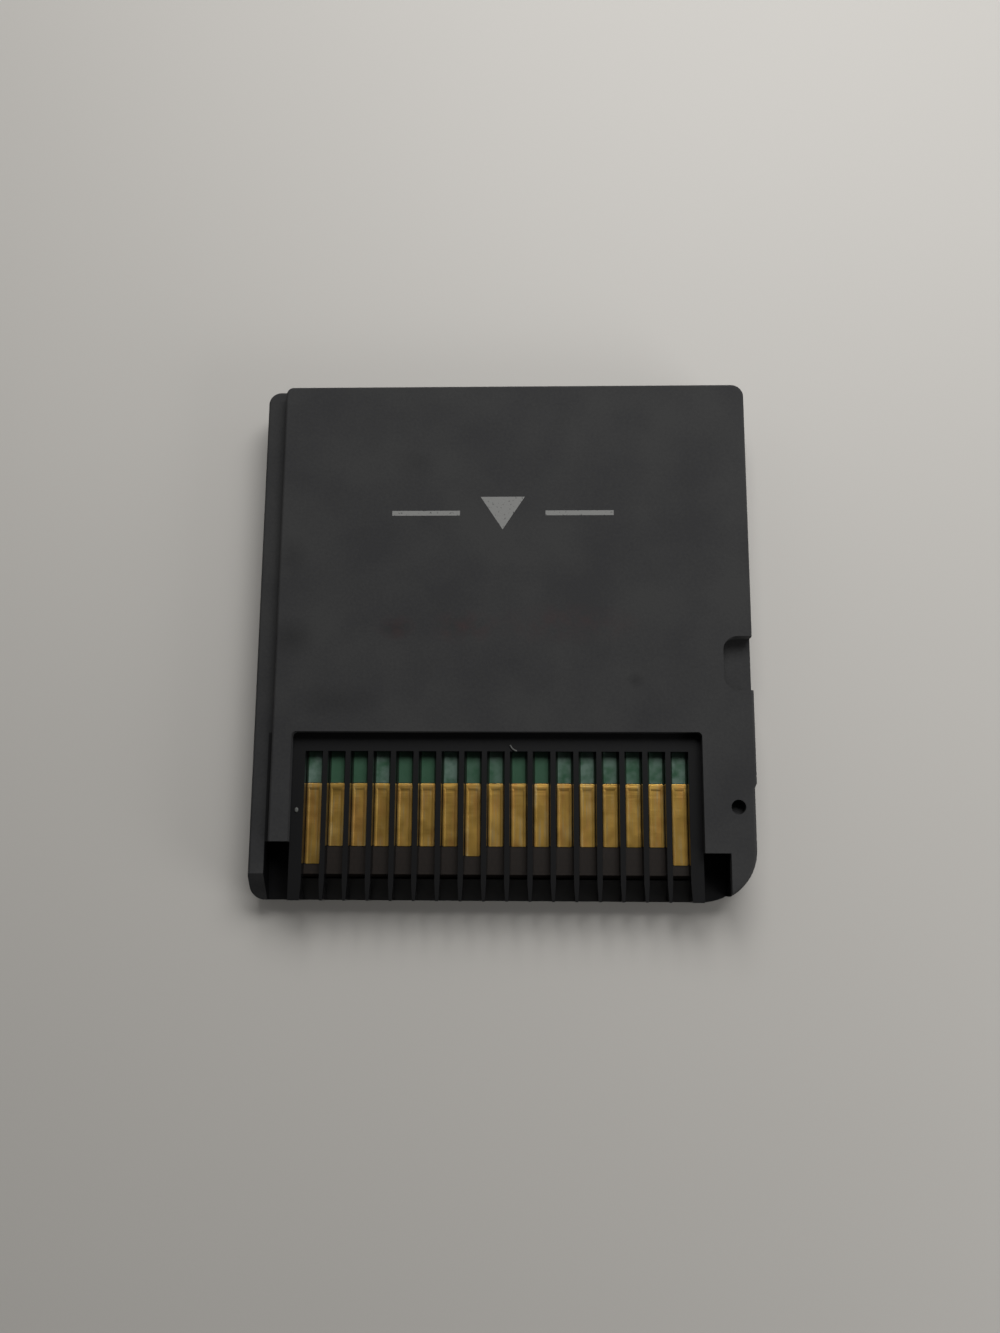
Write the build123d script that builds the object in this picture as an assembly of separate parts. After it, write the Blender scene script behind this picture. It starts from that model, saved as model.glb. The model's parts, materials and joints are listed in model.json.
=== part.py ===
from build123d import *
import os

# Thin game card that lies on its front face with its rear face up and its contacts towards -Y.
# X runs across the card, Y along it and Z through its thickness, all in millimetres.
# The origin is the middle of the footprint, on the surface that the card lies on.

# Thickness, from the front face up to the rear face
FRONT_WALL = 0.65          # floor of the front shell
CHIP_HEADROOM = 0.08       # air between the memory package and that floor
MEMORY_THICKNESS = 0.92    # package body of the memory chip
CHIP_STANDOFF = 0.05       # air between a package body and the board
BOARD_THICKNESS = 0.80
BOARD_GAP = 0.05           # air between the board and the rear plate
REAR_WALL = 1.25           # plate of the rear shell
RIM_HEIGHT = 0.90          # locating rim of the front shell, from the seam up to the board

# Outline
CARD_LENGTH = 35.0
CORNER_RADIUS = 0.85
LEAD_CORNER_RADIUS = 3.4   # the large corner that shows which way round the card goes in
EDGE_ROUND = 0.18          # round along the edge of the rear face and of the ledge
FRONT_ROUND = 0.35         # round along the edge of the front face
SEAM_BEVEL = 0.07          # bevel on each shell along the seam

# Guide ledge along the left side of the rear face
LEDGE_WIDTH = 1.4
LEDGE_DROP = 0.85
LEDGE_BACKING = 0.8        # wall between the ledge step and the cavity
STEP_CORNER = 0.5          # round on the step's corner at the trailing end
LEDGE_RAMP_LENGTH = 1.7    # the ledge falls towards the leading edge over this length
LEDGE_RAMP_DROP = 1.5

# Right side of the rear face
RIGHT_RAIL = 3.45          # rear face between the contact window and the right edge
RELIEF_INSET = 0.17        # right edge stands back along the leading end
RELIEF_LENGTH = 7.6
RELIEF_RUN = 0.4           # length over which the edge steps back
NOTCH_DEPTH = 1.92
NOTCH_LENGTH = 3.62
NOTCH_FROM_LEAD = 13.66
NOTCH_DROP = 1.0
NOTCH_CORNER = 0.95
NOTCH_BACKING = 0.38       # wall between the notch and the cavity
PIT_DIAMETER = 0.95
PIT_DEPTH = 0.7
PIT_FROM_LEAD = 6.06
PIT_INSET = 1.23

# Contact window and comb in the rear plate
CONTACT_COUNT = 17
CONTACT_PITCH = 1.5
SLOT_WIDTH = 1.04          # between two ribs, at the board
SLOT_DRAFT = 0.06          # how far each rib flank leans back up to the top of the comb
SHELF_DROP = 0.7           # top of the comb below the rear face
COMB_BAR = 1.22            # bar of the comb between the window's head and the slots
LEFT_RAIL = 1.3            # rear face between the ledge step and the window
WINDOW_CORNER = 0.3
POCKET_WIDTH = 1.65        # lead-in pocket on each side of the comb
POCKET_WALL = 0.43         # between a pocket and the board's tongue
POCKET_DROP = 2.2          # floor of a pocket at its head, below the rear face
LEFT_POCKET_LENGTH = 3.75
RIGHT_POCKET_LENGTH = 3.13

# Leading lip, under the comb's noses
LIP_DEPTH = 1.4
LIP_DROP = 1.4             # front of the lip below the board's surface
NOSE_RADIUS = 1.5          # round on the end of each rib
FLARE_LENGTH = 2.1         # slots widen over this length at the leading end
FLARE_WIDTH = 0.14         # by this much on each side

# Circuit board
BOARD_CLEARANCE = 0.1      # between the board's edge and the rear shell
BOARD_CORNER = 0.4
BOARD_BEVEL = 0.2          # at the contact end
TONGUE_MARGIN = 0.375      # board beyond the outermost contacts
TRAIL_WALL = 1.3           # rear shell behind the board
TRACK_WIDTH = 0.86         # copper tracks under the solder mask
TRACK_HEIGHT = 0.03
TRACK_LENGTH = 2.9

# Contacts
CONTACT_SIDE_GAP = 0.02    # between a contact and the ribs beside it
CONTACT_THICKNESS = 0.04
CONTACT_CORNER = 0.1
CONTACT_LENGTH = 5.25      # the long contacts
CONTACT_EDGE_GAP = 0.85    # board between a long contact and the board's end
MASK_LENGTH = 2.08         # solder mask in a slot, past the contacts' heads
MIDDLE_SETBACK = 0.53      # how much sooner a middle or short contact ends
SHORT_SETBACK = 1.15
LONG_CONTACTS = (1, CONTACT_COUNT)
MIDDLE_CONTACTS = (CONTACT_COUNT // 2,)

# Front shell
RIM_FIT = 0.05             # between the locating rim and the rear shell
RIM_WALL = 0.7
PEG_DIAMETER = 1.5
PEG_FIT = 0.1              # round a peg in the board's hole, on the diameter
PEG_INSET = 1.3            # from the inside of the rim
PEG_TOP_GAP = 0.1          # end of a peg below the board's surface
BACKING_RIB = 0.8          # wall that holds the board up behind the contacts
LABEL_DEPTH = 0.2          # bare label recess in the front face
LABEL_SIDE = 1.8
LABEL_TRAIL = 1.6
LABEL_LEAD = 7.0
LABEL_CORNER = 1.2

# Chips on the board's front side
MEMORY_SIZE = (17.6, 11.8)
MEMORY_CENTRE = (0.0, 3.6)
MEMORY_LEAD_COUNT = 12     # on each side
MEMORY_PITCH = 0.8
SAVE_SIZE = (4.4, 3.0)
SAVE_CENTRE = (-6.5, -6.6)
SAVE_THICKNESS = 0.82
SAVE_LEAD_COUNT = 4
SAVE_PITCH = 0.65
LEAD_WIDTH = 0.28
LEAD_THICKNESS = 0.12
LEAD_SHOULDER = 0.25
LEAD_LEG = 0.12
LEAD_FOOT = 0.5
PACKAGE_BEVEL = 0.12
DIMPLE_DIAMETER = 0.8
DIMPLE_DEPTH = 0.06
DIMPLE_INSET = 0.9

# Ceramic capacitors
CAPACITOR_LENGTH = 0.6     # ceramic between the tinned ends
CAPACITOR_WIDTH = 0.5
CAPACITOR_HEIGHT = 0.46
CAPACITOR_END = 0.2        # length of a tinned end
CAPACITOR_SKIN = 0.02      # tin over the ceramic
CAPACITOR_START = (2.0, -6.6)
CAPACITOR_STEP = 3.0
CAPACITOR_COUNT = 3

CUT_OVERRUN = 1.0          # how far a cutter reaches past the face that it opens

# Levels through the thickness
BOARD_BOTTOM = FRONT_WALL + CHIP_HEADROOM + MEMORY_THICKNESS + CHIP_STANDOFF
BOARD_TOP = BOARD_BOTTOM + BOARD_THICKNESS
PLATE_INSIDE = BOARD_TOP + BOARD_GAP
REAR_FACE = PLATE_INSIDE + REAR_WALL
SEAM = BOARD_BOTTOM - RIM_HEIGHT
LEDGE_LEVEL = REAR_FACE - LEDGE_DROP
SHELF_LEVEL = REAR_FACE - SHELF_DROP
LIP_LEVEL = BOARD_TOP - LIP_DROP

# Places across the card
SIDE_BAR = TONGUE_MARGIN + BOARD_CLEARANCE + POCKET_WALL
ROW_SPAN = (CONTACT_COUNT - 1) * CONTACT_PITCH
WINDOW_WIDTH = ROW_SPAN + SLOT_WIDTH + 2 * SIDE_BAR
CARD_WIDTH = LEDGE_WIDTH + LEFT_RAIL + WINDOW_WIDTH + RIGHT_RAIL
LEFT = -CARD_WIDTH / 2
RIGHT = CARD_WIDTH / 2
STEP_X = LEFT + LEDGE_WIDTH
WINDOW_LEFT = STEP_X + LEFT_RAIL
WINDOW_RIGHT = WINDOW_LEFT + WINDOW_WIDTH
ROW_X = (WINDOW_LEFT + WINDOW_RIGHT) / 2
CAVITY_LEFT = STEP_X + LEDGE_BACKING
CAVITY_RIGHT = RIGHT - NOTCH_DEPTH - NOTCH_BACKING
TONGUE_LEFT = WINDOW_LEFT + POCKET_WALL
TONGUE_RIGHT = WINDOW_RIGHT - POCKET_WALL

# Places along the card
LEAD = -CARD_LENGTH / 2
TRAIL = CARD_LENGTH / 2
CAVITY_LEAD = LEAD + LIP_DEPTH
CAVITY_TRAIL = TRAIL - TRAIL_WALL
BOARD_LEAD = CAVITY_LEAD + BOARD_CLEARANCE
CONTACT_END = BOARD_LEAD + CONTACT_EDGE_GAP
CONTACT_HEAD = CONTACT_END + CONTACT_LENGTH
SLOT_HEAD = CONTACT_HEAD + MASK_LENGTH
WINDOW_HEAD = SLOT_HEAD + COMB_BAR
LEFT_BLOCK = LEAD + LEFT_POCKET_LENGTH + POCKET_WALL
RIGHT_BLOCK = LEAD + RIGHT_POCKET_LENGTH + POCKET_WALL


def sheet(left, right, near, far):
    """Flat rectangle between two corners."""
    return Pos((left + right) / 2, (near + far) / 2) * Rectangle(right - left, far - near)


def round_corner(face, x, y, radius):
    """Round the corner of a flat outline that lies nearest to a point."""
    return fillet(face.vertices().sort_by_distance((x, y, 0))[0], radius)


def slab(face, low, high):
    """Solid of a flat outline between two levels."""
    return extrude(Pos(0, 0, low) * face, high - low)


def side_profile(points, left, right):
    """Solid of a side outline, given as (y, z) points, between two places across the card."""
    face = make_face(Plane.YZ * Polyline(*points, close=True))
    return Pos(left, 0, 0) * extrude(face, right - left)


def slot_places():
    """Place across the card of each contact, from the left."""
    first = ROW_X - ROW_SPAN / 2
    return [first + index * CONTACT_PITCH for index in range(CONTACT_COUNT)]


def card_outline():
    """Outline of both shells, with its one large corner."""
    face = sheet(LEFT, RIGHT, LEAD, TRAIL)
    face = round_corner(face, RIGHT, LEAD, LEAD_CORNER_RADIUS)
    for x, y in ((LEFT, LEAD), (LEFT, TRAIL), (RIGHT, TRAIL)):
        face = round_corner(face, x, y, CORNER_RADIUS)
    return face


def rear_outline():
    """Outline of the rear face, inside the guide ledge and with the relief on its right edge."""
    relief_edge = RIGHT - RELIEF_INSET
    relief_end = LEAD + RELIEF_LENGTH
    face = make_face(Polyline(
        (STEP_X, LEAD),
        (relief_edge, LEAD),
        (relief_edge, relief_end - RELIEF_RUN),
        (RIGHT, relief_end),
        (RIGHT, TRAIL),
        (STEP_X, TRAIL),
        close=True,
    ))
    face = round_corner(face, relief_edge, LEAD, LEAD_CORNER_RADIUS)
    face = round_corner(face, STEP_X, TRAIL, STEP_CORNER)
    return round_corner(face, RIGHT, TRAIL, CORNER_RADIUS)


def cavity_outline():
    """Room for the board in the rear shell, narrower beside the two lead-in pockets."""
    face = sheet(CAVITY_LEFT, CAVITY_RIGHT, CAVITY_LEAD, CAVITY_TRAIL)
    face -= sheet(CAVITY_LEFT, TONGUE_LEFT, CAVITY_LEAD, LEFT_BLOCK)
    face -= sheet(TONGUE_RIGHT, CAVITY_RIGHT, CAVITY_LEAD, RIGHT_BLOCK)
    return face


def slot_cutter():
    """One slot of the comb: drafted flanks, a flared mouth and a floor that ramps down to the lip."""
    half = SLOT_WIDTH / 2
    low = LIP_LEVEL - CUT_OVERRUN
    high = SHELF_LEVEL + SHELF_DROP
    mouth = LEAD - CUT_OVERRUN
    section = make_face(Plane.XZ * Polyline(
        (-half, low),
        (half, low),
        (half, PLATE_INSIDE),
        (half + SLOT_DRAFT, SHELF_LEVEL),
        (half + SLOT_DRAFT, high),
        (-half - SLOT_DRAFT, high),
        (-half - SLOT_DRAFT, SHELF_LEVEL),
        (-half, PLATE_INSIDE),
        close=True,
    ))
    channel = Pos(0, SLOT_HEAD, 0) * extrude(section, SLOT_HEAD - mouth)
    flare_start = LEAD + FLARE_LENGTH
    mouth_half = half + FLARE_WIDTH * (flare_start - mouth) / FLARE_LENGTH
    flare = slab(make_face(Polyline(
        (-half, flare_start),
        (-mouth_half, mouth),
        (mouth_half, mouth),
        (half, flare_start),
        close=True,
    )), low, high)
    ramp_fall = LIP_DROP * (CAVITY_LEAD - mouth) / LIP_DEPTH
    room = side_profile((
        (SLOT_HEAD, low),
        (SLOT_HEAD, high),
        (mouth, high),
        (mouth, BOARD_TOP - ramp_fall),
        (CAVITY_LEAD, BOARD_TOP),
        (CAVITY_LEAD, low),
    ), -CONTACT_PITCH, CONTACT_PITCH)
    return (channel + flare) & room


def nose_cutter():
    """What is taken off above the rounded noses of the ribs."""
    start = LEAD + NOSE_RADIUS
    end_level = SHELF_LEVEL - NOSE_RADIUS
    curve = TangentArc((start, SHELF_LEVEL), (LEAD, end_level), tangent=(-1, 0))
    outer = Polyline(
        (LEAD, end_level),
        (LEAD - CUT_OVERRUN, end_level),
        (LEAD - CUT_OVERRUN, REAR_FACE + CUT_OVERRUN),
        (start, REAR_FACE + CUT_OVERRUN),
        (start, SHELF_LEVEL),
    )
    face = make_face(Plane.YZ * (curve + outer))
    return Pos(WINDOW_LEFT, 0, 0) * extrude(face, WINDOW_WIDTH)


def pocket_cutter(left, right, length):
    """Lead-in pocket beside the comb, with a floor that ramps down to the lip."""
    head = LEAD + length
    head_level = REAR_FACE - POCKET_DROP
    fall = (head_level - LIP_LEVEL) * CUT_OVERRUN / length
    return side_profile((
        (head, head_level),
        (head, REAR_FACE + CUT_OVERRUN),
        (LEAD - CUT_OVERRUN, REAR_FACE + CUT_OVERRUN),
        (LEAD - CUT_OVERRUN, LIP_LEVEL - fall),
    ), left, right)


def ledge_cutter():
    """What is taken off above the ledge's ramp at the leading end."""
    fall = LEDGE_RAMP_DROP * (LEDGE_RAMP_LENGTH + CUT_OVERRUN) / LEDGE_RAMP_LENGTH
    return side_profile((
        (LEAD + LEDGE_RAMP_LENGTH, LEDGE_LEVEL),
        (LEAD - CUT_OVERRUN, LEDGE_LEVEL + CUT_OVERRUN),
        (LEAD - CUT_OVERRUN, LEDGE_LEVEL - fall),
    ), LEFT - CUT_OVERRUN, STEP_X)


def rear_blank():
    """Rear shell before its openings: full outline up to the ledge, rear face above it."""
    flange = slab(card_outline(), SEAM, LEDGE_LEVEL)
    flange = chamfer(flange.faces().sort_by(Axis.Z)[0].edges(), SEAM_BEVEL)
    flange = fillet(flange.faces().sort_by(Axis.Z)[-1].edges(), EDGE_ROUND)
    past_ledge = card_outline() & sheet(STEP_X + STEP_CORNER, RIGHT, LEAD, TRAIL)
    flange += slab(past_ledge, LEDGE_LEVEL - EDGE_ROUND, LEDGE_LEVEL)
    raised = slab(rear_outline(), LEDGE_LEVEL - EDGE_ROUND, REAR_FACE)
    raised = fillet(raised.faces().sort_by(Axis.Z)[-1].edges(), EDGE_ROUND)
    return flange + raised - ledge_cutter()


def rear_shell():
    """Rear moulding: plate, guide ledge, latch notch, contact window and comb."""
    shell = rear_blank() - slab(cavity_outline(), SEAM - CUT_OVERRUN, PLATE_INSIDE)
    window = sheet(WINDOW_LEFT, WINDOW_RIGHT, LEAD - CUT_OVERRUN, WINDOW_HEAD)
    for x in (WINDOW_LEFT, WINDOW_RIGHT):
        window = round_corner(window, x, WINDOW_HEAD, WINDOW_CORNER)
    shell -= slab(window, SHELF_LEVEL, REAR_FACE + CUT_OVERRUN)
    shell -= nose_cutter()
    shell -= pocket_cutter(WINDOW_LEFT - POCKET_WIDTH, WINDOW_LEFT, LEFT_POCKET_LENGTH)
    shell -= pocket_cutter(WINDOW_RIGHT, WINDOW_RIGHT + POCKET_WIDTH, RIGHT_POCKET_LENGTH)
    slot = slot_cutter()
    shell -= [Pos(x, 0, 0) * slot for x in slot_places()]
    notch_start = LEAD + NOTCH_FROM_LEAD
    notch = sheet(RIGHT - NOTCH_DEPTH, RIGHT + CUT_OVERRUN, notch_start, notch_start + NOTCH_LENGTH)
    for y in (notch_start, notch_start + NOTCH_LENGTH):
        notch = round_corner(notch, RIGHT - NOTCH_DEPTH, y, NOTCH_CORNER)
    shell -= slab(notch, REAR_FACE - NOTCH_DROP, REAR_FACE + CUT_OVERRUN)
    pit = Pos(RIGHT - PIT_INSET, LEAD + PIT_FROM_LEAD) * Circle(PIT_DIAMETER / 2)
    shell -= slab(pit, REAR_FACE - PIT_DEPTH, REAR_FACE + CUT_OVERRUN)
    return shell


def rim_inside():
    """Inside of the front shell's locating rim."""
    return offset(cavity_outline(), -(RIM_FIT + RIM_WALL), kind=Kind.INTERSECTION)


def peg_places():
    """Places of the two pegs that locate the board."""
    inset = RIM_FIT + RIM_WALL + PEG_INSET
    y = CAVITY_TRAIL - inset
    return [(CAVITY_LEFT + inset, y), (CAVITY_RIGHT - inset, y)]


def front_shell():
    """Front moulding: tray with locating rim, pegs, backing rib and a bare label recess."""
    tray = slab(card_outline(), 0, SEAM)
    tray = chamfer(tray.faces().sort_by(Axis.Z)[-1].edges(), SEAM_BEVEL)
    tray = fillet(tray.faces().sort_by(Axis.Z)[0].edges(), FRONT_ROUND)
    tray += slab(offset(cavity_outline(), -RIM_FIT, kind=Kind.INTERSECTION), SEAM, BOARD_BOTTOM)
    tray -= slab(rim_inside(), FRONT_WALL, BOARD_BOTTOM + CUT_OVERRUN)
    backing_start = (CONTACT_HEAD + CONTACT_END - BACKING_RIB) / 2
    backing = sheet(TONGUE_LEFT, TONGUE_RIGHT, backing_start, backing_start + BACKING_RIB)
    tray += slab(backing & rim_inside(), FRONT_WALL, BOARD_BOTTOM)
    for x, y in peg_places():
        tray += slab(Pos(x, y) * Circle(PEG_DIAMETER / 2), FRONT_WALL, BOARD_TOP - PEG_TOP_GAP)
    label = sheet(LEFT + LABEL_SIDE, RIGHT - LABEL_SIDE, LEAD + LABEL_LEAD, TRAIL - LABEL_TRAIL)
    label = fillet(label.vertices(), LABEL_CORNER)
    return tray - slab(label, -CUT_OVERRUN, LABEL_DEPTH)


def circuit_board():
    """Board with a bevelled contact end, peg holes and copper tracks that stand under the mask."""
    face = offset(cavity_outline(), -BOARD_CLEARANCE, kind=Kind.INTERSECTION)
    for x in (CAVITY_LEFT, CAVITY_RIGHT):
        face = round_corner(face, x, CAVITY_TRAIL, BOARD_CORNER)
    for x, y in peg_places():
        face -= Pos(x, y) * Circle((PEG_DIAMETER + PEG_FIT) / 2)
    board = slab(face, BOARD_BOTTOM, BOARD_TOP)
    board = chamfer(board.edges().filter_by(Axis.X).group_by(Axis.Y)[0].sort_by(Axis.Z)[-1], BOARD_BEVEL)
    track = sheet(-TRACK_WIDTH / 2, TRACK_WIDTH / 2, CONTACT_HEAD, CONTACT_HEAD + TRACK_LENGTH)
    for x in slot_places():
        board += slab(Pos(x, 0) * track, BOARD_TOP, BOARD_TOP + TRACK_HEIGHT)
    return board


def contact(number, x):
    """One gilded contact, as long as its place in the row asks."""
    end = CONTACT_END
    if number in MIDDLE_CONTACTS:
        end += MIDDLE_SETBACK
    elif number not in LONG_CONTACTS:
        end += SHORT_SETBACK
    half = SLOT_WIDTH / 2 - CONTACT_SIDE_GAP
    face = fillet(sheet(x - half, x + half, end, CONTACT_HEAD).vertices(), CONTACT_CORNER)
    return slab(face, BOARD_TOP, BOARD_TOP + CONTACT_THICKNESS)


def on_front_side(centre, shape):
    """Turn a shape that stands on z = 0 so that it hangs from the board's front side."""
    return Location((centre[0], centre[1], BOARD_BOTTOM), (180, 0, 0)) * shape


def package(size, thickness):
    """Moulded chip package with bevelled upper edges and a dimple beside its first lead."""
    body = slab(Rectangle(*size), CHIP_STANDOFF, CHIP_STANDOFF + thickness)
    body = chamfer(body.faces().sort_by(Axis.Z)[-1].edges(), PACKAGE_BEVEL)
    dimple = Pos(DIMPLE_INSET - size[0] / 2, size[1] / 2 - DIMPLE_INSET) * Circle(DIMPLE_DIAMETER / 2)
    top = CHIP_STANDOFF + thickness
    return body - slab(dimple, top - DIMPLE_DEPTH, top + CUT_OVERRUN)


def package_leads(size, thickness, count, pitch):
    """Bent leads along both ends of a package, from the middle of its side down to the board."""
    height = CHIP_STANDOFF + (thickness + LEAD_THICKNESS) / 2
    knee = LEAD_SHOULDER + LEAD_LEG
    profile = make_face(Plane.XZ * Polyline(
        (0, height),
        (LEAD_SHOULDER, height),
        (knee, LEAD_THICKNESS),
        (knee + LEAD_FOOT, LEAD_THICKNESS),
        (knee + LEAD_FOOT, 0),
        (knee - LEAD_THICKNESS, 0),
        (LEAD_SHOULDER - LEAD_THICKNESS, height - LEAD_THICKNESS),
        (0, height - LEAD_THICKNESS),
        close=True,
    ))
    lead = Pos(size[0] / 2, 0, 0) * extrude(profile, LEAD_WIDTH / 2, both=True)
    leads = []
    for index in range(count):
        y = (index - (count - 1) / 2) * pitch
        leads.append(Pos(0, y, 0) * lead)
        leads.append(Pos(0, y, 0) * mirror(lead, about=Plane.YZ))
    return Compound(leads)


def capacitor_body():
    """Ceramic block between the two tinned ends."""
    face = Rectangle(CAPACITOR_LENGTH, CAPACITOR_WIDTH)
    return slab(face, CAPACITOR_SKIN, CAPACITOR_SKIN + CAPACITOR_HEIGHT)


def capacitor_ends():
    """Two tinned ends, a skin wider than the ceramic all round."""
    face = Rectangle(CAPACITOR_END, CAPACITOR_WIDTH + 2 * CAPACITOR_SKIN)
    end = slab(face, 0, CAPACITOR_HEIGHT + 2 * CAPACITOR_SKIN)
    reach = (CAPACITOR_LENGTH + CAPACITOR_END) / 2
    return [Pos(-reach, 0, 0) * end, Pos(reach, 0, 0) * end]


def capacitor_places():
    """Places of the capacitors, in a row across the board."""
    x, y = CAPACITOR_START
    return [(x + index * CAPACITOR_STEP, y) for index in range(CAPACITOR_COUNT)]


def build():
    """Every piece of the card, by name."""
    pieces = {
        "rear_shell": rear_shell(),
        "front_shell": front_shell(),
        "circuit_board": circuit_board(),
    }
    for number, x in enumerate(slot_places(), start=1):
        pieces[f"contact_{number:02d}"] = contact(number, x)
    memory_leads = package_leads(MEMORY_SIZE, MEMORY_THICKNESS, MEMORY_LEAD_COUNT, MEMORY_PITCH)
    pieces["memory_chip"] = on_front_side(MEMORY_CENTRE, package(MEMORY_SIZE, MEMORY_THICKNESS))
    pieces["memory_leads"] = on_front_side(MEMORY_CENTRE, memory_leads)
    save_leads = package_leads(SAVE_SIZE, SAVE_THICKNESS, SAVE_LEAD_COUNT, SAVE_PITCH)
    pieces["save_chip"] = on_front_side(SAVE_CENTRE, package(SAVE_SIZE, SAVE_THICKNESS))
    pieces["save_leads"] = on_front_side(SAVE_CENTRE, save_leads)
    ends = []
    for number, centre in enumerate(capacitor_places(), start=1):
        pieces[f"capacitor_{number}"] = on_front_side(centre, capacitor_body())
        ends.extend(on_front_side(centre, end) for end in capacitor_ends())
    pieces["capacitor_ends"] = Compound(ends)
    return pieces


os.makedirs("parts", exist_ok=True)
for name, piece in build().items():
    export_step(piece, f"parts/{name}.step")
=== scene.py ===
import json
import math

import bmesh
import bpy
from bpy.props import FloatProperty, FloatVectorProperty, PointerProperty
from mathutils import Matrix, Vector


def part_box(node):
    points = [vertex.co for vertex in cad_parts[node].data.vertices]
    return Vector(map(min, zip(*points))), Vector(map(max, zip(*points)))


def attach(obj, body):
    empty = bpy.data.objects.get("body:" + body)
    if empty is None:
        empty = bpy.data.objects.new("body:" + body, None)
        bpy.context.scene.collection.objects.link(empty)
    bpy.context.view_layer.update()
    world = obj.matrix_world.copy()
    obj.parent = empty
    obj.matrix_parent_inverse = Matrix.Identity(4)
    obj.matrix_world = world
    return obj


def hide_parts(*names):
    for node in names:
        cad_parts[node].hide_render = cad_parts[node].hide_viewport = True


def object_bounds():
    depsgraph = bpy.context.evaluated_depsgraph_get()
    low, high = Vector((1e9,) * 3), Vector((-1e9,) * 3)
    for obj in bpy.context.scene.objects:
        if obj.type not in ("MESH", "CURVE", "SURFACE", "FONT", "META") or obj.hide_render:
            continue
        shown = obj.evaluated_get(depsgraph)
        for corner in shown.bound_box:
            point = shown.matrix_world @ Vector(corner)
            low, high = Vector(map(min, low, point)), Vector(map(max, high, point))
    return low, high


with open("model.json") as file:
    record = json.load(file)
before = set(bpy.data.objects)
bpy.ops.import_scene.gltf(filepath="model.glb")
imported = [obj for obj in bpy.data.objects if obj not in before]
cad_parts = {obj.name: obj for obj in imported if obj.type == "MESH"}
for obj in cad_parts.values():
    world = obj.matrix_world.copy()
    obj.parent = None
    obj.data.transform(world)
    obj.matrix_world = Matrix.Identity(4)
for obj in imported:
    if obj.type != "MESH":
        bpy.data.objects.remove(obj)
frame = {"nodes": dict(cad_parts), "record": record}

bl_info = {
    "name": "Game card",
    "version": (1, 0, 0),
    "blender": (4, 5, 0),
    "location": "View3D > Sidebar > Game card",
    "description": "Gives a packed game card its moulded, masked and gilded finishes, and lights it",
    "category": "Object",
}

MM = 0.001
CAD_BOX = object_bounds()

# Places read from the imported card, in metres
CONTACTS = sorted(name for name in frame["nodes"] if name.startswith("contact_"))
FIRST_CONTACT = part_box(CONTACTS[0])
LAST_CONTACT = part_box(CONTACTS[-1])
ROW_LEFT = FIRST_CONTACT[0].x
ROW_X = (ROW_LEFT + LAST_CONTACT[1].x) / 2
CONTACT_PITCH = (LAST_CONTACT[0].x - ROW_LEFT) / (len(CONTACTS) - 1)
CONTACT_WIDTH = FIRST_CONTACT[1].x - ROW_LEFT
CONTACT_HEAD = FIRST_CONTACT[1].y
BOARD_TOP = FIRST_CONTACT[0].z
REAR_FACE = CAD_BOX[1].z
LEAD = CAD_BOX[0].y
SLOTS = {row["node"]: row["material_slot"] for row in frame["record"]["subparts"]}


def linear(hex_colour):
    """Linear red, green and blue of an sRGB hex colour."""
    values = [int(hex_colour[start:start + 2], 16) / 255 for start in (1, 3, 5)]
    return tuple(v / 12.92 if v <= 0.04045 else ((v + 0.055) / 1.055) ** 2.4 for v in values)


def length(name, description, default_mm):
    """Property that holds a length, given in millimetres."""
    return FloatProperty(name=name, description=description, default=default_mm * MM,
                         unit="LENGTH", precision=6)


def place_of(name, description, default_mm):
    """Property that holds a place, given in millimetres."""
    return FloatVectorProperty(name=name, description=description, default=[v * MM for v in default_mm],
                               size=3, subtype="TRANSLATION", unit="LENGTH", precision=6)


def power(name, description, watts):
    """Property that holds a lamp's power, given in watts."""
    return FloatProperty(name=name, description=description, default=watts, unit="POWER")


def colour(name, description, hex_colour):
    """Property that holds a colour, given as sRGB hex."""
    return FloatVectorProperty(name=name, description=description, default=linear(hex_colour),
                               subtype="COLOR", size=3, min=0.0, max=1.0)


class CardSizes(bpy.types.PropertyGroup):
    """Sizes that the finishes work with."""

    shell_edge: length("Shell edge", "Width of the small bevel that breaks a moulded edge", 0.035)
    contact_edge: length("Contact edge", "Width of the soft edge of the plating", 0.015)
    board_edge: length("Board edge", "Width of the worn edge of the laminate", 0.015)
    grain: length("Grain", "Size of the pits that spark erosion leaves in the mould", 0.2)
    clouds: length("Clouds", "Size of the faint clouds that handling leaves on the plastic", 4.5)
    comb_reach: length("Comb reach", "From the middle of the contact row to the outside of the pockets", 15.1)
    comb_length: length("Comb length", "From the leading edge to the head of the contact window", 10.9)
    shelf_drop: length("Shelf drop", "From the rear face down to the top of the comb", 0.7)
    lip_drop: length("Lip drop", "From the rear face down to the leading lip", 2.7)
    mark_place: length("Mark place", "From the middle of the card to the middle of the insertion mark", 8.3)


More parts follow.
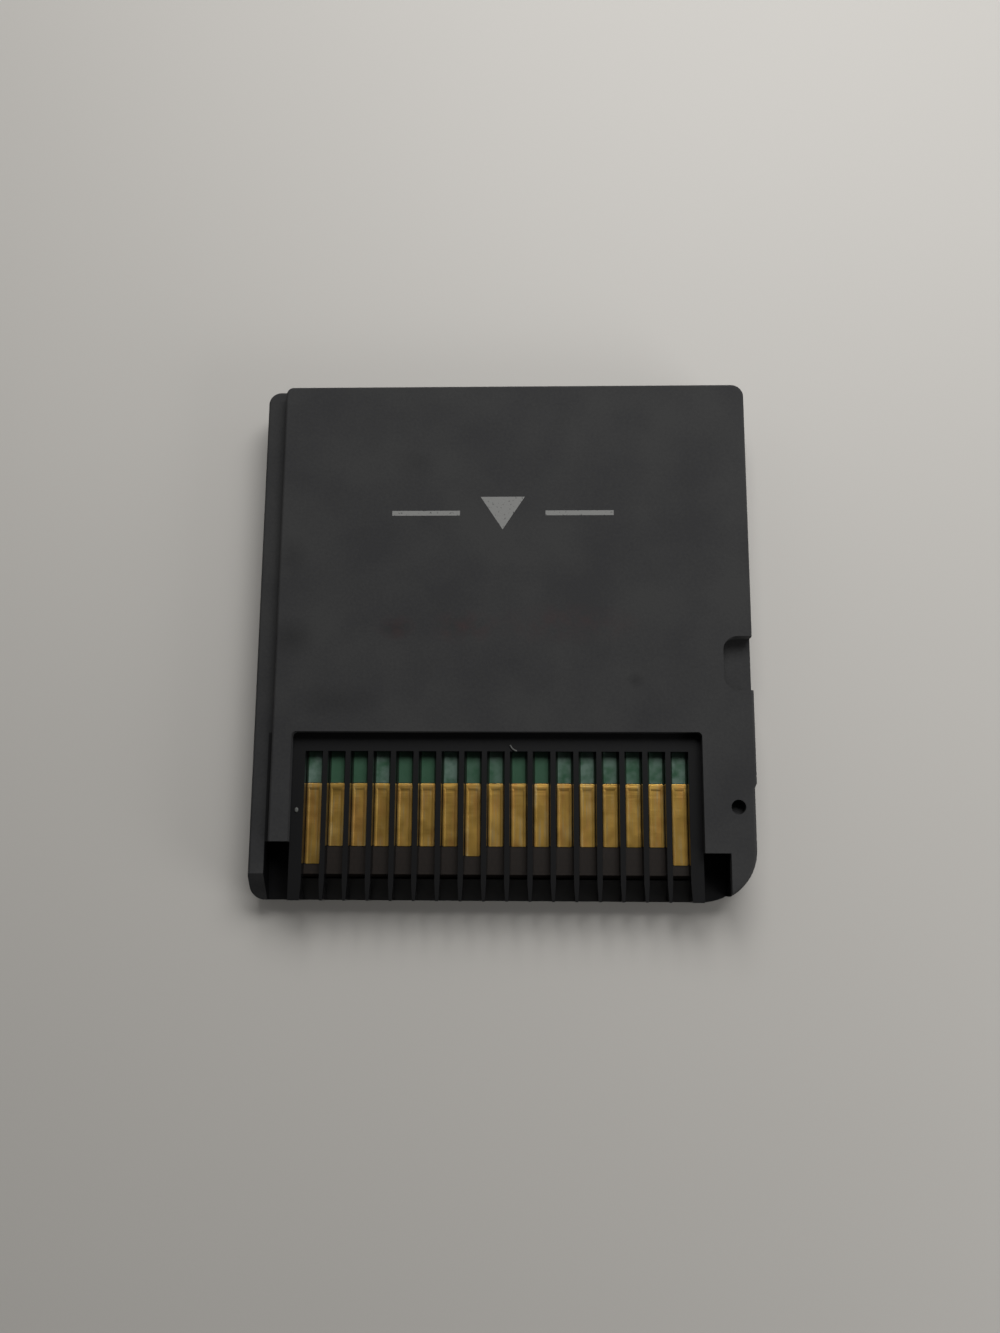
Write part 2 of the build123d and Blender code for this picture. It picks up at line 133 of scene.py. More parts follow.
class CardColours(bpy.types.PropertyGroup):
    """Colours of the finishes."""

    shell: colour("Shell", "Black plastic with a fine grain", "#2A2A2B")
    shell_pale: colour("Shell, pale", "Lighter clouds in the grain", "#323232")
    comb: colour("Comb", "Black plastic where the mould is smoother", "#0C0C0D")
    ink: colour("Ink", "Grey pad print", "#7F7F7D")
    stain: colour("Stain", "Dried reddish dirt on the rear face", "#382A2A")
    # Dark grease of fingermarks, and painted shade: the same colour darkens soft patches towards the left
    # side, where less light falls
    grease_and_shade: colour("Grease", "Dark fingermarks on the rear face", "#0E0E0F")
    mask: colour("Solder mask", "Green lacquer over bare laminate", "#14261A")
    track: colour("Track", "Green lacquer over copper", "#2E4E3A")
    track_pale: colour("Track, pale", "Green lacquer over tinned copper", "#5C7066")
    laminate: colour("Laminate", "Glass cloth in resin, past the mask", "#1C1510")
    gold: colour("Gold", "Hard gold plate", "#E4B75E")
    gold_worn: colour("Gold, worn", "Gold plate where nickel shows through", "#D6BA80")
    gold_thin: colour("Gold, thin", "Gold plate where copper shows through", "#E0A65C")
    epoxy: colour("Epoxy", "Moulding compound of a chip", "#1B1B1C")
    tin: colour("Tin", "Dull tin on leads", "#B4B2AC")
    ceramic: colour("Ceramic", "Fired body of a capacitor", "#9C7F5E")
    lint: colour("Lint", "Grey fibre and dust caught in the comb", "#545552")


class StageSettings(bpy.types.PropertyGroup):
    """Camera, light and floor."""

    floor: colour("Floor", "Pale table top", "#B2AFAA")
    floor_half: length("Floor half", "From the middle of the card to the edge of the table top", 220)
    room_behind: colour("Room behind", "Light from the walls behind the card and to its right", "#CACAC8")
    room_before: colour("Room before", "Light from the walls before the card and to its left", "#5A5A5A")
    overhead: colour("Overhead", "Dim ceiling straight above", "#303030")
    window_power: power("Window power", "Power of the soft key light", 0.38)
    window_width: length("Window width", "Width of the soft key light", 165)
    window_height: length("Window height", "Height of the soft key light", 96)
    window_place: place_of("Window place", "Middle of the soft key light", (36.5, 123.5, 141))
    side_power: power("Side power", "Power of the soft fill light", 0.085)
    side_width: length("Side width", "Width of the soft fill light", 90)
    side_height: length("Side height", "Height of the soft fill light", 50)
    side_place: place_of("Side place", "Middle of the soft fill light", (140, -70, 60))
    camera_place: place_of("Camera", "Place of the camera", (2.0825, -15.955, 77.0404))
    camera_turn: FloatVectorProperty(name="Turn", description="Turn of the camera as a rotation vector",
                                     default=(0.1846, 0.0294, 0.0033), size=3, unit="ROTATION", precision=5)
    lens: FloatProperty(name="Lens", description="Focal length in millimetres, for a 36 mm long side",
                        default=30.491, unit="CAMERA")


def add(tree, kind, inputs=None, out=0, **settings):
    """Add a shader node, set its properties, set or link its inputs, and give one of its outputs."""
    node = tree.nodes.new("ShaderNode" + kind)
    for name, value in settings.items():
        setattr(node, name, value)
    for socket, value in (inputs or {}).items():
        if isinstance(value, bpy.types.NodeSocket):
            tree.links.new(value, node.inputs[socket])
        else:
            node.inputs[socket].default_value = value
    return node.outputs[out] if node.outputs else None


def new_material(name):
    """Empty material: itself, its tree and the object's own coordinates."""
    material = bpy.data.materials.new(name)
    material.use_nodes = True
    tree = material.node_tree
    tree.nodes.clear()
    return material, tree, add(tree, "TexCoord", out="Object")


def rgba(value):
    """Colour of a property with full alpha."""
    return (*value, 1.0)


def within(tree, place, middle, half, soft=0.01):
    """1 inside a box of given middle and half sizes, 0 outside, with an edge as soft as a share of them."""
    spot = add(tree, "Mapping", {"Vector": place, "Location": middle, "Scale": half}, vector_type="TEXTURE")
    reach = add(tree, "VectorMath", {0: spot}, operation="ABSOLUTE")
    x, y, z = add(tree, "SeparateXYZ", {0: reach}).node.outputs
    widest = add(tree, "Math", {0: x, 1: y}, operation="MAXIMUM")
    widest = add(tree, "Math", {0: widest, 1: z}, operation="MAXIMUM")
    return add(tree, "MapRange", {0: widest, 1: 1 + soft, 2: 1 - soft})


# Insertion mark: each bar's middle and half sizes, the triangle's half sizes, and the depth of the ink
BAR_MIDDLE = 5.2 * MM
BAR_HALF = (2.3 * MM, 0.17 * MM)
TRIANGLE_HALF = (1.5 * MM, 1.15 * MM)
INK_DEPTH = 0.02 * MM


def insertion_mark(tree, place, middle):
    """Generic insertion mark: a plain triangle that points to the contacts, between two bars."""
    x, y, z = add(tree, "SeparateXYZ", {0: place}).node.outputs
    across = add(tree, "Math", {0: x}, operation="ABSOLUTE")
    folded = add(tree, "CombineXYZ", {0: across, 1: y, 2: z})
    bars = within(tree, folded, (BAR_MIDDLE, middle, REAR_FACE), (*BAR_HALF, INK_DEPTH))
    tip = middle - TRIANGLE_HALF[1]
    slope = TRIANGLE_HALF[0] / (2 * TRIANGLE_HALF[1])
    side = add(tree, "Math", {0: y, 1: slope, 2: -tip * slope}, operation="MULTIPLY_ADD")
    wedge = add(tree, "Math", {0: across, 1: side}, operation="LESS_THAN")
    block = within(tree, folded, (0, middle, REAR_FACE), (*TRIANGLE_HALF, INK_DEPTH))
    triangle = add(tree, "Math", {0: wedge, 1: block}, operation="MULTIPLY")
    return add(tree, "Math", {0: bars, 1: triangle}, operation="MAXIMUM")


# Marks of use and painted shade on the rear face: middle and half sizes in millimetres, strength
STAINS = (
    ((-7.1, 0.4), (1.5, 1.0), 0.7),
    ((-2.6, 0.4), (2.6, 1.3), 0.6),
    ((4.2, 0.6), (5.5, 1.6), 0.45),
)
# Fingermarks, and painted shade: the three marks furthest to the left darken the face where less light falls
FINGERMARKS_AND_SHADE = (
    ((-7.1, 0.3), (1.3, 0.8), 0.4),
    ((-2.6, 0.4), (2.2, 0.9), 0.2),
    ((-14.0, -0.3), (1.8, 1.6), 0.4),
    ((-14.2, 5.4), (1.2, 1.6), 0.25),
    ((-5.9, 11.8), (1.8, 1.2), 0.22),
    ((8.8, -3.2), (0.7, 0.6), 0.35),
    ((-11.0, -4.6), (3.2, 1.4), 0.25),
)


def marks_of_use_and_shade(tree, place, marks):
    """How strongly a list of soft round marks lies on the rear face."""
    total = 0.0
    for (x, y), (wide, deep), strength in marks:
        spot = add(tree, "Mapping", {
            "Vector": place,
            "Location": (x * MM, y * MM, REAR_FACE),
            "Scale": (wide * MM, deep * MM, MM),
        }, vector_type="TEXTURE")
        fall = add(tree, "TexGradient", {"Vector": spot}, out="Fac", gradient_type="SPHERICAL")
        total = add(tree, "Math", {0: fall, 1: strength, 2: total}, operation="MULTIPLY_ADD")
    return total


# Depth of the grain, its share on the comb, and the size of the patches in a stain
GRAIN_DEPTH = 0.02 * MM
COMB_GRAIN = 0.2
STAIN_PATCH = 0.9 * MM
# Roughness of the grained faces, of the comb and of the flanks of its ribs
GRAIN_ROUGH = 0.75
COMB_ROUGH = 0.55
FLANK_ROUGH = 0.05
# Upward part of the normal where a face of the comb begins to be a flank, and where it is one
FLANK_START = 0.6
FLANK_FULL = 0.3
# How far the comb's finish reaches over its top, and the softness of its border
COMB_MARGIN = 0.03 * MM
COMB_BORDER = 0.001


def moulded_abs(sizes, colours):
    """Finish of both shells."""
    # Black ABS out of a spark-eroded mould: a dull fine grain, faintly clouded by handling, with a closer
    # shine on the comb and on the flanks of its ribs, which come from a smoother steel.
    # The grain is drawn about three times as coarse as it is, so that it shows.
    material, tree, place = new_material("black ABS, spark-eroded mould")
    grain = add(tree, "TexNoise", {"Vector": place, "Scale": 1 / sizes.grain, "Detail": 3.0})
    clouds = add(tree, "TexNoise", {"Vector": place, "Scale": 1 / sizes.clouds, "Detail": 4.0})
    comb_top = REAR_FACE - sizes.shelf_drop + COMB_MARGIN
    comb_low = REAR_FACE - sizes.lip_drop
    comb = within(tree, place, (ROW_X, LEAD + sizes.comb_length / 2, (comb_top + comb_low) / 2),
                  (sizes.comb_reach, sizes.comb_length / 2, (comb_top - comb_low) / 2), COMB_BORDER)
    facing = add(tree, "SeparateXYZ", {0: add(tree, "NewGeometry", out="Normal")}, out="Z")
    upright = add(tree, "Math", {0: facing}, operation="ABSOLUTE")
    flank = add(tree, "MapRange", {0: upright, 1: FLANK_START, 2: FLANK_FULL})
    flank = add(tree, "Math", {0: flank, 1: comb}, operation="MULTIPLY")

    # Colour: clouds and grain, dirt and fingermarks with painted shade towards the left, ink, and the plain
    # black of the comb
    tone = add(tree, "Math", {0: clouds, 1: 0.7}, operation="MULTIPLY")
    tone = add(tree, "Math", {0: grain, 1: 0.3, 2: tone}, operation="MULTIPLY_ADD")
    tone = add(tree, "MapRange", {0: tone, 1: 0.38, 2: 0.62})
    body = add(tree, "Mix", {0: tone, 6: rgba(colours.shell), 7: rgba(colours.shell_pale)}, 2,
               data_type="RGBA")
    # Fingermarks, and painted shade in the soft dark patches towards the left side
    grease_and_shade = marks_of_use_and_shade(tree, place, FINGERMARKS_AND_SHADE)
    body = add(tree, "Mix", {0: grease_and_shade, 6: body, 7: rgba(colours.grease_and_shade)}, 2, data_type="RGBA")
    patchy = add(tree, "TexNoise", {"Vector": place, "Scale": 1 / STAIN_PATCH, "Detail": 4.0})
    patchy = add(tree, "MapRange", {0: patchy, 1: 0.35, 2: 0.65})
    stain = add(tree, "Math", {0: marks_of_use_and_shade(tree, place, STAINS), 1: patchy}, operation="MULTIPLY")
    body = add(tree, "Mix", {0: stain, 6: body, 7: rgba(colours.stain)}, 2, data_type="RGBA")
    ink = add(tree, "MapRange", {0: grain, 1: 0.26, 2: 0.4, 4: 0.85})
    ink = add(tree, "Math", {0: ink, 1: insertion_mark(tree, place, sizes.mark_place)}, operation="MULTIPLY")
    body = add(tree, "Mix", {0: ink, 6: body, 7: rgba(colours.ink)}, 2, data_type="RGBA")
    body = add(tree, "Mix", {0: comb, 6: body, 7: rgba(colours.comb)}, 2, data_type="RGBA")

    # Shine and grain, both finer on the comb
    dull = add(tree, "Math", {0: clouds, 1: 0.12, 2: GRAIN_ROUGH}, operation="MULTIPLY_ADD")
    rough = add(tree, "Mix", {0: comb, 2: dull, 3: COMB_ROUGH})
    rough = add(tree, "Mix", {0: flank, 2: rough, 3: FLANK_ROUGH})
    depth = add(tree, "Math", {0: comb, 1: COMB_GRAIN - 1, 2: 1.0}, operation="MULTIPLY_ADD")
    height = add(tree, "Math", {0: grain, 1: depth}, operation="MULTIPLY")
    bump = add(tree, "Bump", {"Height": height, "Strength": 0.3, "Distance": GRAIN_DEPTH})
    shader = add(tree, "BsdfPrincipled", {
        "Base Color": body, "Roughness": rough, "Normal": bump, "IOR": 1.53, "Specular IOR Level": 0.16,
    })
    add(tree, "OutputMaterial", {"Surface": shader})
    return material


# How pale the track above each contact is, counted from the left: tin lies under the palest
PALE_TRACKS = {
    1: 1.0, 4: 0.9, 7: 0.95, 8: 0.3, 9: 0.55, 12: 0.8,
    13: 0.9, 14: 0.75, 15: 0.6, 16: 0.65, 17: 0.9,
}
PLAIN_TRACK = 0.08
# Height over the board at which a track begins, and how far the bare end reaches past the contacts' heads
TRACK_STEP = 0.01 * MM
BARE_MARGIN = 0.04 * MM
# Size of the clouds in the solder mask, their depth, and the width of a thread in the glass cloth
MASK_CLOUD = 0.7 * MM
MASK_DEPTH = 0.02 * MM
THREAD = 0.4 * MM
# Roughness of the mask and of the bare laminate
MASK_ROUGH = 0.34
BARE_ROUGH = 0.5


def masked_laminate(colours):
    """Finish of the circuit board."""
    # Glass laminate under green solder mask: a soft gloss, lighter where copper lies under the lacquer and
    # paler still over tin, and a bare, dull, brown end under the contacts, with the weave just showing
    material, tree, place = new_material("glass laminate, green solder mask")
    x, y, z = add(tree, "SeparateXYZ", {0: place}).node.outputs

    # Paleness along the row, in one step for each contact
    start = ROW_LEFT - CONTACT_PITCH / 4
    row = add(tree, "MapRange", {0: x, 1: start, 2: start + CONTACT_PITCH * len(CONTACTS)})
    tones = add(tree, "ValToRGB", {0: row})
    tones.node.color_ramp.interpolation = "CONSTANT"
    stops = tones.node.color_ramp.elements
    stops.remove(stops[1])
    for number in range(1, len(CONTACTS) + 1):
        stop = stops[0] if number == 1 else stops.new((number - 1) / len(CONTACTS))
        stop.color = rgba((PALE_TRACKS.get(number, PLAIN_TRACK),) * 3)

    # Mask over bare laminate and over the raised tracks
    cloud = add(tree, "TexNoise", {"Vector": place, "Scale": 1 / MASK_CLOUD, "Detail": 3.0})
    pale = add(tree, "MapRange", {0: cloud, 1: 0.3, 2: 0.6})
    pale = add(tree, "Math", {0: pale, 1: tones}, operation="MULTIPLY")
    track = add(tree, "Mix", {0: pale, 6: rgba(colours.track), 7: rgba(colours.track_pale)}, 2,
                data_type="RGBA")
    raised = add(tree, "Math", {0: z, 1: BOARD_TOP + TRACK_STEP}, operation="GREATER_THAN")
    masked = add(tree, "Mix", {0: raised, 6: rgba(colours.mask), 7: track}, 2, data_type="RGBA")

    # Weave at the bare end
    weave = add(tree, "TexBrick", {
        "Vector": place, "Scale": 1 / THREAD, "Brick Width": 1.0, "Row Height": 1.0, "Mortar Size": 0.125,
        "Color1": (1, 1, 1, 1), "Color2": (0.9, 0.9, 0.9, 1), "Mortar": (0.8, 0.8, 0.8, 1),
    })
    cloth = add(tree, "Mix", {0: 1.0, 6: rgba(colours.laminate), 7: weave}, 2, data_type="RGBA",
                blend_type="MULTIPLY")
    bare = add(tree, "Math", {0: y, 1: CONTACT_HEAD + BARE_MARGIN}, operation="LESS_THAN")
    body = add(tree, "Mix", {0: bare, 6: masked, 7: cloth}, 2, data_type="RGBA")
    rough = add(tree, "Mix", {0: bare, 2: MASK_ROUGH, 3: BARE_ROUGH})
    bump = add(tree, "Bump", {"Height": cloud, "Strength": 0.25, "Distance": MASK_DEPTH})
    shader = add(tree, "BsdfPrincipled", {
        "Base Color": body, "Roughness": rough, "Normal": bump, "IOR": 1.55, "Specular IOR Level": 0.3,
    })
    add(tree, "OutputMaterial", {"Surface": shader})
    return material


# Width and height of the rim that plating builds up along a contact's sides, and width of the lower rim at
# its head with its share of the height
PLATED_RIM = 0.22 * MM
RIM_HEIGHT = 0.016 * MM
HEAD_RIM = 0.45 * MM
HEAD_SHARE = 0.4
# Stretch below the head where springs have wiped lines across a contact
WIPED_LENGTH = 1.3 * MM
# Widths of the lines across and along a contact, of its streaks and of its clouds, and the depth of the lines
CROSS_LINE = 0.16 * MM
LONG_LINE = 0.12 * MM
STREAK = 0.45 * MM
GOLD_CLOUD = 0.9 * MM
LINE_DEPTH = 0.012 * MM
# Width of a line or streak as a share of its length
CROSS_SHARE = 0.06
LONG_SHARE = 0.03
STREAK_SHARE = 0.2


def gold_plate(colours):
    """Finish of the contacts."""
    # Hard gold over nickel: a warm satin shine that flares up along the edges, where plating builds up a rim,
    # with fine lines along it and, near the heads, across it where the springs of a connector have rubbed,
    # and paler or redder streaks where the gold has gone thin.
    # The rubbed lines are drawn about twice as wide as they are, so that they show.
    material, tree, place = new_material("copper, gold plated")
    x, y, z = add(tree, "SeparateXYZ", {0: place}).node.outputs
    across = add(tree, "Mapping", {"Vector": place, "Scale": (CROSS_SHARE, 1.0, 1.0)})
    across = add(tree, "TexNoise", {"Vector": across, "Scale": 1 / CROSS_LINE, "Detail": 2.0})
    along = add(tree, "Mapping", {"Vector": place, "Scale": (1.0, LONG_SHARE, 1.0)})
    along = add(tree, "TexNoise", {"Vector": along, "Scale": 1 / LONG_LINE, "Detail": 2.0})
    streak = add(tree, "Mapping", {"Vector": place, "Scale": (1.0, STREAK_SHARE, 1.0)})
    streak = add(tree, "TexNoise", {"Vector": streak, "Scale": 1 / STREAK, "Detail": 2.0})
    cloud = add(tree, "TexNoise", {"Vector": place, "Scale": 1 / GOLD_CLOUD, "Detail": 3.0})

    # Colour and shine: gold, redder in streaks and paler along the lines
    worn = add(tree, "MapRange", {0: along, 1: 0.48, 2: 0.7})
    patch = add(tree, "MapRange", {0: cloud, 1: 0.35, 2: 0.6})
    worn = add(tree, "Math", {0: worn, 1: patch}, operation="MULTIPLY")
    thin = add(tree, "MapRange", {0: streak, 1: 0.48, 2: 0.66, 4: 0.6})
    body = add(tree, "Mix", {0: thin, 6: rgba(colours.gold), 7: rgba(colours.gold_thin)}, 2, data_type="RGBA")
    body = add(tree, "Mix", {0: worn, 6: body, 7: rgba(colours.gold_worn)}, 2, data_type="RGBA")
    rough = add(tree, "Math", {0: cloud, 1: 0.2, 2: 0.27}, operation="MULTIPLY_ADD")

    # Rim along the sides and the head, then the rubbed lines
    from_left = add(tree, "Math", {0: x, 1: ROW_LEFT}, operation="SUBTRACT")
    from_left = add(tree, "Math", {0: from_left, 1: CONTACT_PITCH}, operation="FLOORED_MODULO")
    from_right = add(tree, "Math", {0: CONTACT_WIDTH, 1: from_left}, operation="SUBTRACT")
    from_head = add(tree, "Math", {0: CONTACT_HEAD, 1: y}, operation="SUBTRACT")
    rise = add(tree, "MapRange", {0: from_head, 1: 0.0, 2: HEAD_RIM, 3: HEAD_SHARE, 4: 1.0})
    from_head = add(tree, "Math", {0: from_head, 1: PLATED_RIM / HEAD_RIM}, operation="MULTIPLY")
    inset = add(tree, "Math", {0: from_left, 1: from_right}, operation="MINIMUM")
    inset = add(tree, "Math", {0: inset, 1: from_head}, operation="MINIMUM")
    rim = add(tree, "MapRange", {0: inset, 1: 0.0, 2: PLATED_RIM, 4: math.pi})
    rim = add(tree, "Math", {0: rim}, operation="SINE")
    rim = add(tree, "Math", {0: rim, 1: rise}, operation="MULTIPLY")
    edge = add(tree, "Bump", {"Height": rim, "Strength": 1.0, "Distance": RIM_HEIGHT})
    wiped = add(tree, "MapRange", {0: y, 1: CONTACT_HEAD - WIPED_LENGTH, 2: CONTACT_HEAD, 3: 0.6, 4: 2.2})
    height = add(tree, "Math", {0: across, 1: wiped, 2: along}, operation="MULTIPLY_ADD")
    bump = add(tree, "Bump", {"Height": height, "Strength": 0.4, "Distance": LINE_DEPTH, "Normal": edge})
    shader = add(tree, "BsdfPrincipled", {
        "Base Color": body, "Roughness": rough, "Normal": bump, "Metallic": 1.0,
    })
    add(tree, "OutputMaterial", {"Surface": shader})
    return material


# Grain of the small pieces: its depth, the tone of its pits as a share of the colour, and the swing it gives
# to the roughness
PIT_DEPTH = 0.01 * MM
PIT_TONE = 0.8
ROUGH_SWING = 0.1


def fine_grain(name, tone, size, rough, metallic=0.0):
    """Plain finish with a fine grain, which gives a small piece a soft, uneven sheen."""
    material, tree, place = new_material(name)
    grain = add(tree, "TexNoise", {"Vector": place, "Scale": 1 / size, "Detail": 3.0})
    shade = add(tree, "MapRange", {0: grain, 1: 0.3, 2: 0.7})
    dark = rgba([PIT_TONE * v for v in tone])
    body = add(tree, "Mix", {0: shade, 6: dark, 7: rgba(tone)}, 2, data_type="RGBA")
    bump = add(tree, "Bump", {"Height": grain, "Strength": 0.3, "Distance": PIT_DEPTH})
    dull = add(tree, "Math", {0: grain, 1: ROUGH_SWING, 2: rough - ROUGH_SWING / 2}, operation="MULTIPLY_ADD")
    shader = add(tree, "BsdfPrincipled", {
        "Base Color": body, "Roughness": dull, "Normal": bump, "Metallic": metallic,
    })
    add(tree, "OutputMaterial", {"Surface": shader})
    return material


def new_piece(name, shape, material):
    """Object of a finished shape, which rides on the card."""
    for face in shape.faces:
        face.smooth = True
        face.material_index = 0
    mesh = bpy.data.meshes.new(name)
    shape.to_mesh(mesh)
    shape.free()
    mesh.materials.append(material)
    piece = bpy.data.objects.new(name, mesh)
    bpy.context.scene.collection.objects.link(piece)
    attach(piece, "root")
    return piece


# Edges sharper than the first angle are bevelled, those sharper than the second keep their crease, and faces
# that meet flatter than the third become one
BEVEL_ANGLE = math.radians(35)
CREASE_ANGLE = math.radians(50)
FLAT_ANGLE = math.radians(0.5)
# Corners closer than this are one corner, in millimetres
MERGE_GAP = 0.0005


def dress(node, edge, material):
    """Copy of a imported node, with its flat faces whole and its sharp edges broken by a narrow bevel."""
    shape = bmesh.new()
    shape.from_mesh(frame["nodes"][node].data)
    bmesh.ops.scale(shape, vec=(1 / MM,) * 3, verts=shape.verts)
    bmesh.ops.remove_doubles(shape, verts=shape.verts, dist=MERGE_GAP)
    bmesh.ops.dissolve_limit(shape, angle_limit=FLAT_ANGLE, verts=shape.verts, edges=shape.edges)
    sharp = [line for line in shape.edges if line.calc_face_angle(0.0) > BEVEL_ANGLE]
    bmesh.ops.bevel(shape, geom=sharp, offset=edge / MM, offset_type="OFFSET", segments=2, profile=0.5,
                    affect="EDGES", clamp_overlap=True, material=-1)
    bmesh.ops.scale(shape, vec=(MM,) * 3, verts=shape.verts)
    for line in shape.edges:
        line.smooth = line.calc_face_angle(0.0) < CREASE_ANGLE
    piece = new_piece(f"{node}_finished", shape, material)
    even = piece.modifiers.new("Even shading", "WEIGHTED_NORMAL")
    even.keep_sharp = True
    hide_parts(node)


class CARD_OT_shells(bpy.types.Operator):
    """Finish the rear and the front shell as black mouldings"""

    bl_idname = "card.shells"
    bl_label = "Shells"

    def execute(self, context):
        sizes = context.scene.card_sizes
        plastic = moulded_abs(sizes, context.scene.card_colours)
        for node in ("rear_shell", "front_shell"):
            dress(node, sizes.shell_edge, plastic)
        return {"FINISHED"}


class CARD_OT_board(bpy.types.Operator):
    """Finish the circuit board with its solder mask and bare contact end"""

    bl_idname = "card.board"
    bl_label = "Circuit board"

    def execute(self, context):
        laminate = masked_laminate(context.scene.card_colours)
        dress("circuit_board", context.scene.card_sizes.board_edge, laminate)
        return {"FINISHED"}


class CARD_OT_contacts(bpy.types.Operator):
    """Gild the row of contacts"""

    bl_idname = "card.contacts"
    bl_label = "Contacts"

    def execute(self, context):
        edge = context.scene.card_sizes.contact_edge
        gold = gold_plate(context.scene.card_colours)
        for node in CONTACTS:
            dress(node, edge, gold)
        return {"FINISHED"}


class CARD_OT_chips(bpy.types.Operator):
    """Finish the chips, their leads and the capacitors on the board's front side"""

    bl_idname = "card.chips"
    bl_label = "Chips and capacitors"

    def execute(self, context):
        colours = context.scene.card_colours
        # Moulded epoxy is a dull black, dull tin a soft grey sheen, and fired ceramic a chalky tan
        finishes = {
            "chip_plastic": fine_grain("epoxy, moulded", colours.epoxy, 0.2 * MM, 0.6),
            "tinned_leads": fine_grain("copper, tinned", colours.tin, 0.15 * MM, 0.42, metallic=1.0),
            "capacitor_ceramic": fine_grain("ceramic, fired", colours.ceramic, 0.1 * MM, 0.5),
        }
        for node, slot in SLOTS.items():
            if slot in finishes:
                materials = frame["nodes"][node].data.materials
                materials.clear()
                materials.append(finishes[slot])
        return {"FINISHED"}


# Fibre on the comb's bar and flake beside the first contact, in millimetres
FIBRE_FROM = Vector((0.56, -7.41))
FIBRE_TO = Vector((1.0, -7.8))
FIBRE_RADIUS = 0.05
FIBRE_BEND = math.radians(60)
FLAKE_PLACE = Vector((-13.4, -11.7))
FLAKE_HALF = Vector((0.12, 0.17, 0.05))


class CARD_OT_lint(bpy.types.Operator):
    """Lay the caught fibre and the flake of dust on the comb"""

    bl_idname = "card.lint"
    bl_label = "Lint"

    def execute(self, context):
        # Loose cotton is soft and quite without shine
        dust = fine_grain("cotton lint, grey", context.scene.card_colours.lint, 0.05 * MM, 0.9)
        shelf = REAR_FACE - context.scene.card_sizes.shelf_drop
        new_piece("lint_fibre", self.fibre(shelf), dust)
        new_piece("lint_flake", self.flake(shelf), dust)
        return {"FINISHED"}

    def fibre(self, shelf):
        """Short bent fibre that lies across the comb's bar."""
        run = FIBRE_TO - FIBRE_FROM
        middle = (FIBRE_FROM + FIBRE_TO) / 2
        bend = run.length / (2 * math.sin(FIBRE_BEND / 2))
        shape = bmesh.new()
        bmesh.ops.create_circle(shape, segments=8, radius=FIBRE_RADIUS)
        upright = Matrix.Rotation(math.radians(90), 4, "X")
        start = Matrix.Rotation(-FIBRE_BEND / 2, 4, "Z") @ Matrix.Translation((bend, 0, 0))
        bmesh.ops.transform(shape, matrix=start @ upright, verts=shape.verts)
        bmesh.ops.spin(shape, geom=shape.verts[:] + shape.edges[:], cent=(0, 0, 0), axis=(0, 0, 1),
                       angle=FIBRE_BEND, steps=12, use_merge=False)
        bmesh.ops.holes_fill(shape, edges=[line for line in shape.edges if line.is_boundary], sides=0)
        bmesh.ops.recalc_face_normals(shape, faces=shape.faces)
        bmesh.ops.translate(shape, vec=(-bend * math.cos(FIBRE_BEND / 2), 0, 0), verts=shape.verts)
        heading = Matrix.Rotation(math.atan2(run.y, run.x) - math.radians(90), 4, "Z")
        lay = Matrix.Translation((middle.x, middle.y, FIBRE_RADIUS)) @ heading
        raise_up = Matrix.Translation((0, 0, shelf)) @ Matrix.Scale(MM, 4)
        bmesh.ops.transform(shape, matrix=raise_up @ lay, verts=shape.verts)
        return shape

    def flake(self, shelf):
        """Small flake of dust beside the first contact."""
        shape = bmesh.new()
        bmesh.ops.create_icosphere(shape, subdivisions=2, radius=1.0)
        bmesh.ops.scale(shape, vec=FLAKE_HALF * MM, verts=shape.verts)
        middle = FLAKE_PLACE * MM
        bmesh.ops.translate(shape, vec=(middle.x, middle.y, shelf + FLAKE_HALF.z * MM), verts=shape.verts)
        return shape


# Size of the clouds in the table top, and their dimmest tone as a share of its colour
FLOOR_CLOUD = 40 * MM
FLOOR_DIM = 0.96
# How much the walls brighten to the right for each step that they brighten to the back, and where on that run
# they are darkest and brightest
WALL_SIDE = 0.6
WALL_DARK = -0.8
WALL_BRIGHT = 0.6
# Heights between which the walls turn to ceiling, from 0 at the horizon to 1 straight above
CEILING_START = 0.5
CEILING_FULL = 0.85


